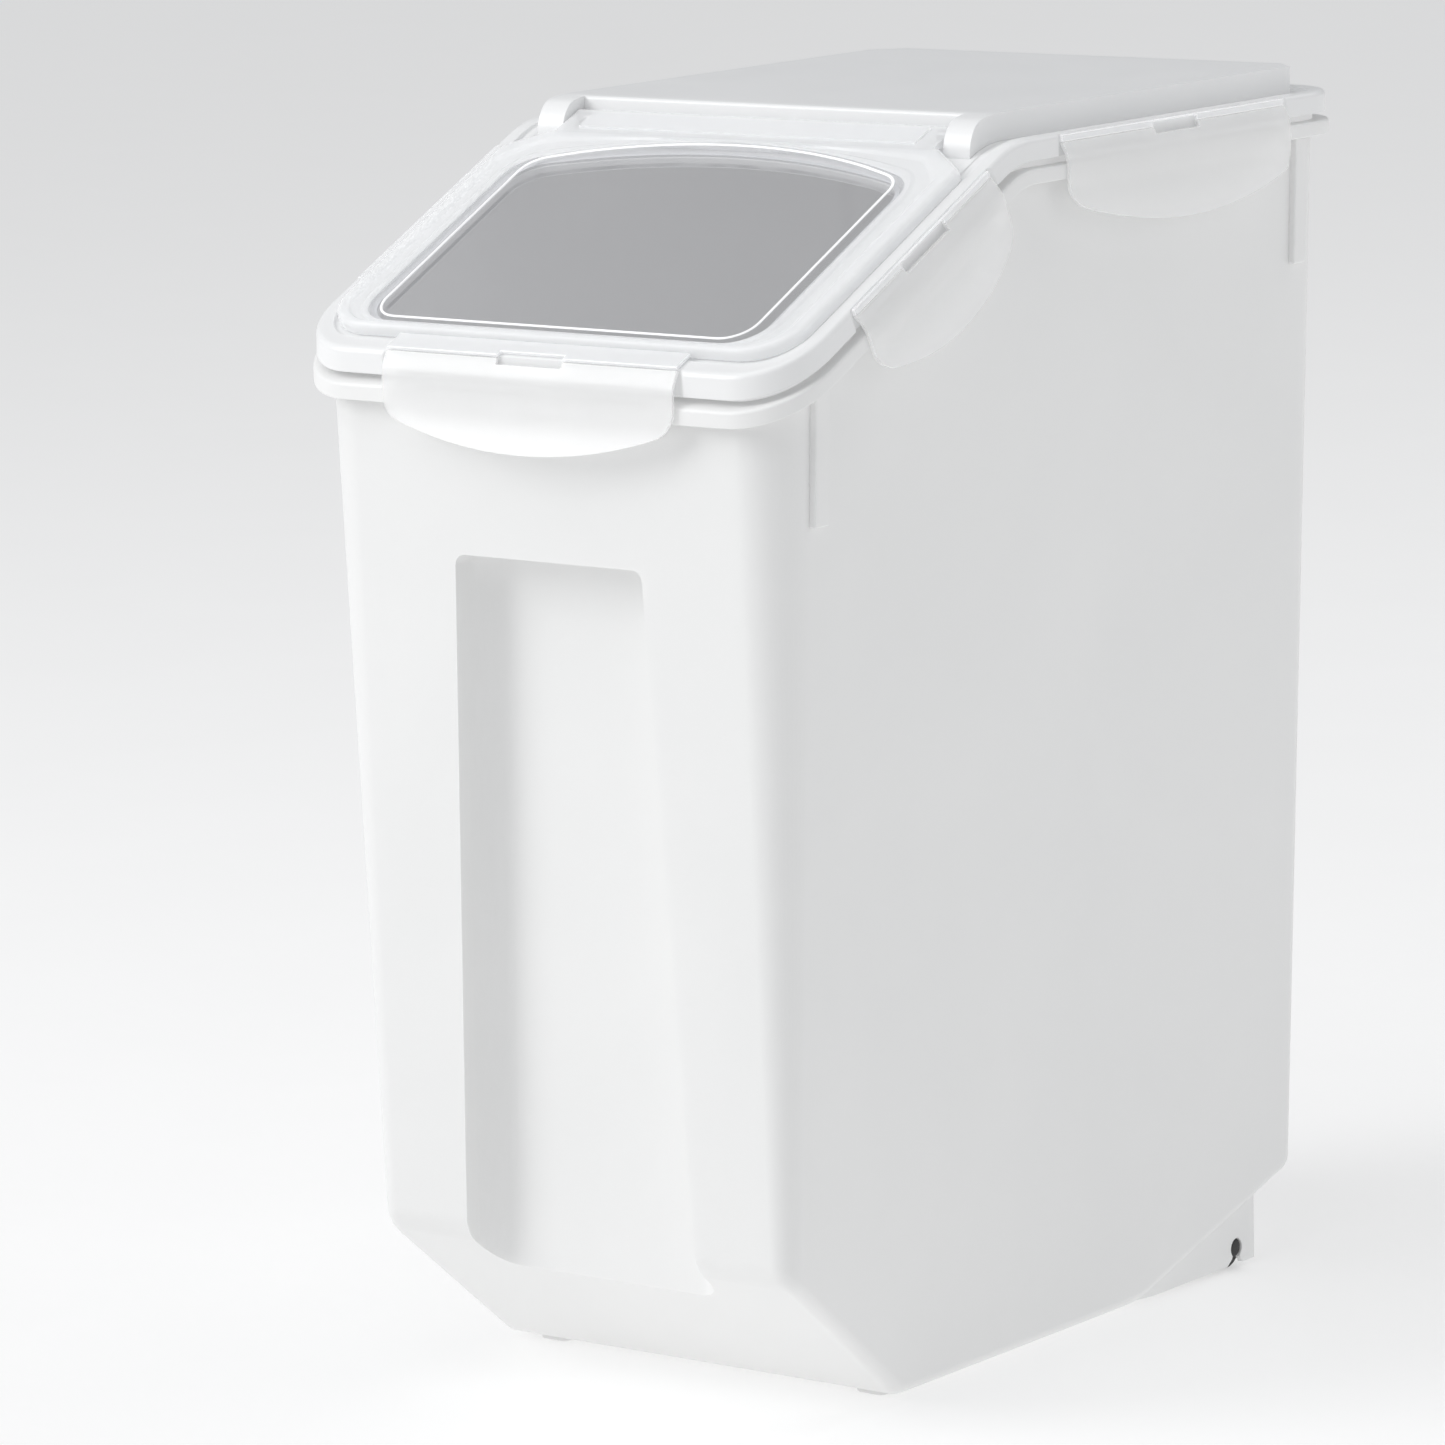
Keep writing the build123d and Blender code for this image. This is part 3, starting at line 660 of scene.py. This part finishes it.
# ---------------------------------------------------------------- top panel with its hinge ears
PANEL_HALF, PANEL_REAR, PANEL_FRONT, PANEL_CLIP = 107.9, MID_Y + 191.4, MID_Y - 39.6, 12.0
EAR_INNER, EAR_FRONT, EAR_ROUND = 95.0, MID_Y - 55.0, 9.5
PANEL_EDGE, PANEL_NOSE = 1.7, 3.6
hinge = Vector((0, MID_Y - 44.0, 502.0))


def panel_top(y):
    """Rise of the panel's top, which curves down to the front tips of its ears."""
    reach = (y - EAR_FRONT) / cos(SLOPE)
    return PANEL_RISE - EAR_ROUND + sqrt(EAR_ROUND ** 2 - max(EAR_ROUND - reach, 0.0) ** 2)


stations = [EAR_FRONT + d for d in (0, 0.1, 0.35, 0.8)] + [EAR_FRONT + 1.4 * i for i in range(1, 18)]
stations += [MID_Y + y for y in (0, 60, 120)]
stations = [(y, PANEL_HALF) for y in stations]
stations += [(PANEL_REAR - PANEL_CLIP, PANEL_HALF), (PANEL_REAR, PANEL_HALF - PANEL_CLIP)]
cuts = (-1, -0.88, 0.88, 1)
levels = [
    [[Vector((half * c, y, rim_height(y, rise(y)))) for c in cuts] for y, half in stations]
    for rise in (lambda y: DECK_TOP + 0.05, panel_top)
]
panel = new_object("panel", plate(levels).mesh("panel"))
notch = Shape()
ahead = EAR_FRONT - 20
box = [(-EAR_INNER, ahead), (EAR_INNER, ahead), (EAR_INNER, PANEL_FRONT), (-EAR_INNER, PANEL_FRONT)]
notch.extrude(box, lambda p: (*p, 460), lambda p: (*p, 540))
cut(panel, new_object("notch", notch.mesh("notch")))


def on_nose(p):
    return abs(p.y - PANEL_FRONT) < 0.5 and abs(p.x) < EAR_INNER - 1 and p.z > hinge.z + 3


bevel_edges(panel, on_nose, PANEL_NOSE, 5)
bevel_edges(panel, lambda p: p.z > rim_height(p.y, DECK_TOP) + 1.2, PANEL_EDGE, 3, 28)
piece("panel_shell", panel, "lid", white_lid, ["top_panel"])


# ---------------------------------------------------------------- flip window
PANE, BEAD = (98.5, -154.3, -13.2, -34, 17), (92.6, -151.7, -14.6, -33, 13)
TRAY_HALF, TRAY_NECK, TRAY_FRONT, TRAY_SHOULDER, TRAY_REAR, TRAY_CORNER = 114.5, 96, -158.6, -24, -9.5, 22
SIDE_POINTS = (110, 90, 110, 90)


def window_outline(inset):
    half, neck, corner = TRAY_HALF - inset, TRAY_NECK - 0.4 * inset, TRAY_CORNER - inset
    front, shoulder, rear = TRAY_FRONT + inset, TRAY_SHOULDER - 0.4 * inset, TRAY_REAR - inset
    points = [(-half, front), (half, front), (half, shoulder), (neck, rear), (-neck, rear), (-half, shoulder)]
    return rounded(points, [corner, corner, 4, 3, 3, 4], 10)


def matched(outline, front, rear):
    """The outline as evenly spread points whose corners fall at the same places in every loop.

    front and rear are places outside the right front and right rear corners.
    """
    anchors = [(-front[0], front[1]), front, rear, (-rear[0], rear[1])]
    starts = [min(range(len(outline)), key=lambda i: (outline[i] - Vector(a)).length) for a in anchors]
    out = []
    for k, start in enumerate(starts):
        end = starts[(k + 1) % 4]
        span = (end - start) % len(outline)
        line = [outline[(start + i) % len(outline)] for i in range(span + 1)]
        out.extend(resampled(line, SIDE_POINTS[k])[:-1])
    return out


def window_loop(inset):
    return matched(window_outline(inset), (120, -165), (106, -14))


def pane_loop(grow):
    return matched(arched(PANE, grow), (104, -160), (103, -30))


def bead_loop(grow):
    return matched(arched(BEAD, grow), (99, -158), (98, -29))


# The tray's section, as (loop, rise): up its skirt, over its ridged border, and back under it.
TRAY_LOW, TRAY_UNDER, TRAY_ROUND, RABBET = 17.0, 20.3, 2.2, 21.3
outer_edge, pane_edge = window_loop(TRAY_ROUND), pane_loop(0)
loops = [(window_loop(0.25), TRAY_LOW), (window_loop(0), TRAY_LOW + 0.3), (window_loop(0), TRAY_UNDER)]
for k in range(1, 6):
    a = pi / 2 * k / 5
    loops.append((window_loop(TRAY_ROUND * (1 - cos(a))), TRAY_UNDER + TRAY_ROUND * sin(a)))
ridges = [(0.06, 22.5), (0.2, 22.5), (0.25, 22.44), (0.3, 22.15), (0.35, 21.75), (0.4, 21.6), (0.5, 21.6)]
ridges += [(0.66, 21.6), (0.7, 21.66), (0.74, 21.9), (0.78, 22.15), (0.82, 22.25), (0.92, 22.25)]
ridges += [(0.97, 22.15), (1.0, 21.8)]
for share, rise in ridges:
    loops.append(([a.lerp(b, share) for a, b in zip(outer_edge, pane_edge)], rise))
loops += [(pane_edge, RABBET), (pane_loop(1.2), RABBET), (pane_loop(1.2), TRAY_UNDER)]
loops += [(window_loop(TRAY_ROUND + 0.15), TRAY_UNDER), (window_loop(TRAY_ROUND), TRAY_UNDER - 0.4)]
loops += [(window_loop(TRAY_ROUND), TRAY_LOW + 0.3), (window_loop(TRAY_ROUND - 0.25), TRAY_LOW)]
tray = Shape()
tray.loft([sloped(line, rise) for line, rise in loops], tube=True)


def slope_place(point):
    """(along, rise) of a place in the side view."""
    offset = point - slope_origin
    return offset.dot(slope_up), offset.dot(slope_normal)


# The hinge strip with its barrel, and the raised plate on it, in the side view's (along, rise).
BARREL, STRIP_HALF, PLATE_HALF = 3.4, 94, 84
hinge_along, hinge_rise = slope_place(hinge)
turns = [-1.3 + 0.36 * i for i in range(9)]
strip = [(-13, 20.4), (-6.5, 19.9), (hinge_along - 1.0, hinge_rise - 3.3)]
strip += [(hinge_along + BARREL * cos(a), hinge_rise + BARREL * sin(a)) for a in turns]
strip += [(-4.0, 22.2), (-7.5, 22.5), (-13, 22.4)]
tray.extrude(strip, lambda p: on_slope(-STRIP_HALF, *p), lambda p: on_slope(STRIP_HALF, *p))
raised = [(-8.6, 22.0), (hinge_along - 1.5, hinge_rise + 3.0), (hinge_along - 1.8, hinge_rise + 4.0)]
raised += [(-3.8, 23.1), (-8.2, 23.2)]
tray.extrude(raised, lambda p: on_slope(-PLATE_HALF, *p), lambda p: on_slope(PLATE_HALF, *p))
piece("window_tray", tray, "window", milky_glow, ["window_frame"])

glazing = Shape()
rim_steps = [(1.1, 20.32), (1.1, 21.2), (-0.1, 21.25), (-0.1, 21.7), (-0.5, 21.9), (-1.2, 21.9)]
lines = [sloped(pane_loop(grow), rise) for grow, rise in rim_steps]
glazing.loft(lines, caps=True)
piece("window_glazing", glazing, "window", clear, ["window_pane"])
bead = Shape()
bead_steps = [(0.0, 21.95), (-0.1, 22.25), (-0.3, 22.45), (-0.55, 22.5)]
bead_steps += [(-0.8, 22.45), (-1.0, 22.25), (-1.1, 21.95)]
bead.loft([sloped(bead_loop(grow), rise) for grow, rise in bead_steps], tube=True)
piece("window_bead", bead, "window", bead_glow)


# ---------------------------------------------------------------- straps and latches
def latch_frames():
    """Each latch's suffix, its length, and the map from (out, along its hinge, up) to a place."""
    flat = Vector((LATCH_X, MID_Y + FLAT_LATCH[0], RIM_Z + PIVOT_RISE))
    slanted = on_slope(LATCH_X, SLOPE_LATCH[0], PIVOT_RISE)
    front_y = RIM_MID_Y - RIM_HALF_Y + FRONT_LATCH_INSET
    front = Vector((0, front_y, rim_height(front_y, 0) + LIP_TOP / cos(SLOPE) - 0.3))
    out = []
    for side, sign in (("right", 1), ("left", -1)):
        for end, origin, length, along, up in (
            ("front", slanted, SLOPE_LATCH[1], slope_up, slope_normal),
            ("rear", flat, FLAT_LATCH[1], Vector((0, 1, 0)), Vector((0, 0, 1))),
        ):
            def place(u, a, w, sign=sign, origin=origin, along=along, up=up):
                point = origin + Vector((u, 0, 0)) + along * a + up * w
                return Vector((point.x * sign, point.y, point.z))

            out.append((f"{end}_{side}", length, place))
    out.append(("front", FRONT_LATCH, lambda u, a, w: Vector((a, front.y - u, front.z + w))))
    return out


def sheet_solid(shape, rows, columns, inner, outer, missing):
    """A thin moulded panel: inner and outer map (column, row) to a place."""
    back, grid = [[shape.add([face(c, r) for c in columns]) for r in rows] for face in (inner, outer)]
    present = {
        (i, j)
        for j in range(len(rows) - 1)
        for i in range(len(columns) - 1)
        if not missing((columns[i] + columns[i + 1]) / 2, (rows[j] + rows[j + 1]) / 2)
    }
    for i, j in present:
        shape.faces.append((back[j][i], back[j][i + 1], back[j + 1][i + 1], back[j + 1][i]))
        shape.faces.append((grid[j][i], grid[j + 1][i], grid[j + 1][i + 1], grid[j][i + 1]))
        for (di, dj), (p, q) in (
            ((-1, 0), ((j, i), (j + 1, i))), ((1, 0), ((j, i + 1), (j + 1, i + 1))),
            ((0, -1), ((j, i), (j, i + 1))), ((0, 1), ((j + 1, i), (j + 1, i + 1))),
        ):
            if (i + di, j + dj) not in present:
                a, b = back[p[0]][p[1]], back[q[0]][q[1]]
                shape.faces.append((a, b, grid[q[0]][q[1]], grid[p[0]][p[1]]))


SLOT, SLOT_LINES = 16, [-16, -15.4, 0, 15.4, 16]  # the opening in the middle of the fold


def latch_columns(length):
    half = length / 2
    columns = [half * sin(pi / 2 * i / 22) for i in range(-22, 23)]
    return sorted([c for c in columns if min(abs(abs(c) - SLOT), abs(c)) > 1] + SLOT_LINES)


def latch_edge(a, half):
    """Lower edge of a latch: a shallow arc with rounded corners."""
    corner, fall = 12.0, 12.5
    radius = (half * half + fall * fall) / (2 * fall)
    centre = radius - LATCH_DROP
    corner_x = half - corner
    a = abs(a)
    if a > corner_x * radius / (radius - corner):
        corner_w = centre - sqrt((radius - corner) ** 2 - corner_x ** 2)
        return corner_w - sqrt(max(corner ** 2 - (a - corner_x) ** 2, 0))
    return centre - sqrt(radius * radius - a * a)


# Outward bow and sheet thicknesses; each hook's height, reach and bead radius; the front strap's place;
# and the latch's rows, fixed below the fold and spread further down.
BOW, LATCH_THICK, STRAP_THICK = 3.5, 1.5, 1.4
FRONT_HOOK, SIDE_HOOK = (-11.65, 4.6, 1.2), (-PIVOT_RISE - 2.1, 1.55, 1.5)
STRAP_ALONG, STRAP_RISE = -158.9, 18.4
FIXED_ROWS, FREE_ROWS = [0, -1.2, -2.4, -3.6, -4.8, -6, -7.2, -8.4, -9.6, -11], 12
rows = list(range(len(FIXED_ROWS) + FREE_ROWS))
for suffix, length, place in latch_frames():
    is_front = suffix == "front"
    name = "front_latch" if is_front else "latch_" + suffix
    strap_name = "front_strap" if is_front else "strap_" + suffix
    drop, reach, bead = FRONT_HOOK if is_front else SIDE_HOOK
    path = [(0, 0), (5, BOW * 0.75), (9, BOW), (2 - drop, BOW), (26, BOW + 1.6), (LATCH_DROP + 1, BOW + 4.6)]

    def height(a, row, half=length / 2):
        if row < len(FIXED_ROWS):
            return FIXED_ROWS[row]
        share = (row - len(FIXED_ROWS) + 1) / FREE_ROWS
        return FIXED_ROWS[-1] + (latch_edge(a, half) - FIXED_ROWS[-1]) * share

    def surface(extra, path=path, place=place):
        return lambda a, row: place(spline(path, -height(a, row)) + extra, a, height(a, row))

    shape = Shape()
    sheet_solid(shape, rows, latch_columns(length), surface(0), surface(LATCH_THICK),
                lambda a, row: abs(a) < SLOT and row < 2)
    half_bead = length * 0.4
    centre_u = BOW - reach + bead
    hook = [(centre_u + bead * cos(t), drop + bead * sin(t)) for t in [pi / 2 + pi * k / 8 for k in range(9)]]
    hook += [(BOW + 0.5, drop - bead), (BOW + 0.5, drop + bead)]
    shape.extrude(hook, lambda p: place(p[0], -half_bead, p[1]), lambda p: place(p[0], half_bead, p[1]))
    piece(name + "_panel", shape, name, milky_latch_glow, [name],
          bevel=0.45, segments=3, sharp=50, edge=milky_edge_glow)

    strap = Shape()
    columns = [-length / 2, -length / 4, *SLOT_LINES, length / 4, length / 2]
    if is_front:
        def strap_surface(rise):
            return lambda x, v: on_slope(x, STRAP_ALONG - v, rise)

        inner, outer = strap_surface(STRAP_RISE), strap_surface(STRAP_RISE + STRAP_THICK)
        sheet_solid(strap, [0, 1.2, 5, 7.7, 10.1], columns, inner, outer,
                    lambda x, v: abs(x) < SLOT and v > 7.7)
    else:
        sheet_solid(strap, [0.3, 2.2, 3.1], columns, lambda a, w: place(0, a, w),
                    lambda a, w: place(STRAP_THICK, a, w), lambda a, w: abs(a) < SLOT and w < 2.2)
    piece(strap_name + "_strip", strap, strap_name, milky_glow, [strap_name],
          bevel=0.3, sharp=50, edge=milky_edge_glow)


# ---------------------------------------------------------------- ribs, feet, roller housings and rollers
def lathe(shape, centre, profile, steps):
    """Turn an (x, radius) profile round an axis along X."""
    loops = []
    for x, radius in profile:
        ring = [2 * pi * k / steps for k in range(steps)]
        loops.append([(x, centre[0] + radius * cos(a), centre[1] + radius * sin(a)) for a in ring])
    shape.loft(loops, caps=True)


def wall_x(z):
    return tub_sizes(z, 0)[0]


# The ribs as (front edge, lower end), their width and how far they reach into and out of the wall; the feet.
RIBS, RIB_WIDTH, RIB_IN, RIB_OUT = ((MID_Y - 174.5, 364.0), (MID_Y + 164.5, 430.0)), 9.0, 1.5, 3.0
FOOT_X, FOOT_Y, FOOT_HALF_X, FOOT_HALF_Y, FOOT_CORNER = 80.5, MID_Y - 86, 7, 16, 3.0
details = Shape()
for sign in (1, -1):
    for front, z_low in RIBS:
        rear = front + RIB_WIDTH
        outline = [(front, z_low), (rear, z_low), (rear, rim_height(rear, 1)), (front, rim_height(front, 1))]
        details.extrude(
            outline,
            lambda p: (sign * (wall_x(p[1]) - RIB_IN), *p),
            lambda p: (sign * (wall_x(p[1]) + RIB_OUT), *p),
        )
    corners = [(sx * FOOT_HALF_X, sy * FOOT_HALF_Y) for sx, sy in ((-1, -1), (1, -1), (1, 1), (-1, 1))]
    foot = rounded([(sign * FOOT_X + x, FOOT_Y + y) for x, y in corners], FOOT_CORNER, 5)
    details.extrude(foot, lambda p: (p.x, p.y, 0), lambda p: (p.x, p.y, FLOOR_GAP + 1))
piece("ribs_and_feet", details, "bin", white_tub, bevel=0.7, segments=3, sharp=40)

# The housings' side plates, with an axle hole that is open below.
AXLE_Y, AXLE_Z, AXLE_HOLE, AXLE = MID_Y + 145.0, 9.5, 4.2, 4.12
PLATE_LOW, PLATE_X, PLATE_THICK = 2.5, (72.0, 94.5), 2.5
housings = Shape()
hole_start, hole_end = radians(-133), radians(-48)
hole = [hole_start - (2 * pi + hole_start - hole_end) * k / 24 for k in range(25)]
outline = [(MID_Y + 61.4, 4.0), (MID_Y + 80.4, PLATE_LOW), (AXLE_Y - 7.1, PLATE_LOW), (AXLE_Y - 3.4, 5.2)]
outline += [(AXLE_Y + AXLE_HOLE * cos(a), AXLE_Z + AXLE_HOLE * sin(a)) for a in hole]
outline += [(AXLE_Y + 2.6, 5.2), (AXLE_Y + 4.7, PLATE_LOW), (MID_Y + 159, PLATE_LOW)]
outline += [(MID_Y + 159, 33.0), (MID_Y + 65.4, 4.2)]
for sign in (1, -1):
    for x in PLATE_X:
        housings.extrude(outline, lambda p: (sign * x, *p), lambda p: (sign * (x + PLATE_THICK), *p))
piece("roller_housings", housings, "bin", white_tub, bevel=0.4, sharp=40)

for side, sign in (("right", 1), ("left", -1)):
    low, high = box_mm("wheel_" + side)
    centre = ((low[1] + high[1]) / 2, (low[2] + high[2]) / 2)
    radius = (high[2] - low[2]) / 2
    width = high[0] - low[0]
    groove_low, groove_high = width * 0.3, width * 0.36 + 1
    profile = [(0, AXLE), (0, radius - 1.6), (0.25, radius - 0.8), (0.8, radius - 0.25), (1.6, radius)]
    profile += [(groove_low, radius), (groove_low + 0.5, radius - 0.5)]
    profile += [(groove_high - 0.5, radius - 0.5), (groove_high, radius)]
    profile += [(width - x, r) for x, r in reversed(profile)]
    tyre = Shape()
    lathe(tyre, centre, [(low[0] + x, r) for x, r in profile], 56)
    piece("roller_" + side, tyre, "wheel_" + side, black, ["wheel_" + side], sharp=40)
    low, high = box_mm("wheel_axle_" + side)
    length = high[0] - low[0]
    end = [(0, 0.6), (0, 2.6), (0.15, 3.3), (0.5, 3.85), (1.0, AXLE)]
    profile = end + [(length - x, r) for x, r in reversed(end)]
    axle = Shape()
    lathe(axle, centre, [(low[0] + x, r) for x, r in profile], 40)
    piece("axle_" + side, axle, "wheel_" + side, black, ["wheel_axle_" + side], sharp=40)

for node, material in (("lid_seal", silicone), ("window_seal", silicone), ("window_hinge_pins", steel)):
    bpy.data.objects[node].data.materials.clear()
    bpy.data.objects[node].data.materials.append(material)


# ---------------------------------------------------------------- floor, light and camera
floor_mesh = bpy.data.meshes.new("floor")
floor_mesh.from_pydata([(-30, -30, 0), (30, -30, 0), (30, 30, 0), (-30, 30, 0)], [], [(0, 1, 2, 3)])
floor = new_object("floor", floor_mesh)
floor.data.materials.append(
    moulded("studio_floor", (0.52, 0.52, 0.52), (0.51, 0.51, 0.51), 0.7, 0.05, 0.05, 60.0,
            Emission_Color=(1, 1, 1, 1), Emission_Strength=0.5)
)


def area_light(name, place, target, size, power):
    data = bpy.data.lights.new(name, "AREA")
    data.shape = "DISK"
    data.size = size
    data.energy = power
    lamp = bpy.data.objects.new(name, data)
    bpy.context.scene.collection.objects.link(lamp)
    lamp.location = place
    lamp.rotation_euler = (Vector(target) - Vector(place)).to_track_quat("-Z", "Y").to_euler()


middle = (0, 0, 0.25)
area_light("key", (-2.2, -2.7, 2.2), middle, 2.2, 60)
area_light("fill", (2.9, 0.9, 1.5), middle, 2.4, 14)
area_light("back", (0.8, 2.4, 2.6), middle, 2.0, 14)
area_light("top", (-0.3, -1.1, 2.7), middle, 2.4, 24)

world = bpy.data.worlds.new("studio")
bpy.context.scene.world = world
world.use_nodes = True
background = next(node for node in world.node_tree.nodes if node.type == "BACKGROUND")
background.inputs["Color"].default_value = (0.95, 0.97, 1.0, 1)
background.inputs["Strength"].default_value = 0.34
bpy.context.scene.view_settings.view_transform = "Standard"

# The photograph's viewpoint; the matrix has the camera's right, up and backward directions.
camera_data = bpy.data.cameras.new("camera")
camera_data.sensor_width = 36.0
camera_data.lens = 187.35
camera = bpy.data.objects.new("camera", camera_data)
bpy.context.scene.collection.objects.link(camera)
turn = Matrix(((0.802, 0.5969, -0.0232), (-0.0861, 0.154, 0.9843), (0.5911, -0.7874, 0.1749))).transposed()
camera.matrix_world = Matrix.Translation((1.79694, -2.47572 + MID_Y * MM, 0.7958)) @ turn.to_4x4()
bpy.context.scene.camera = camera
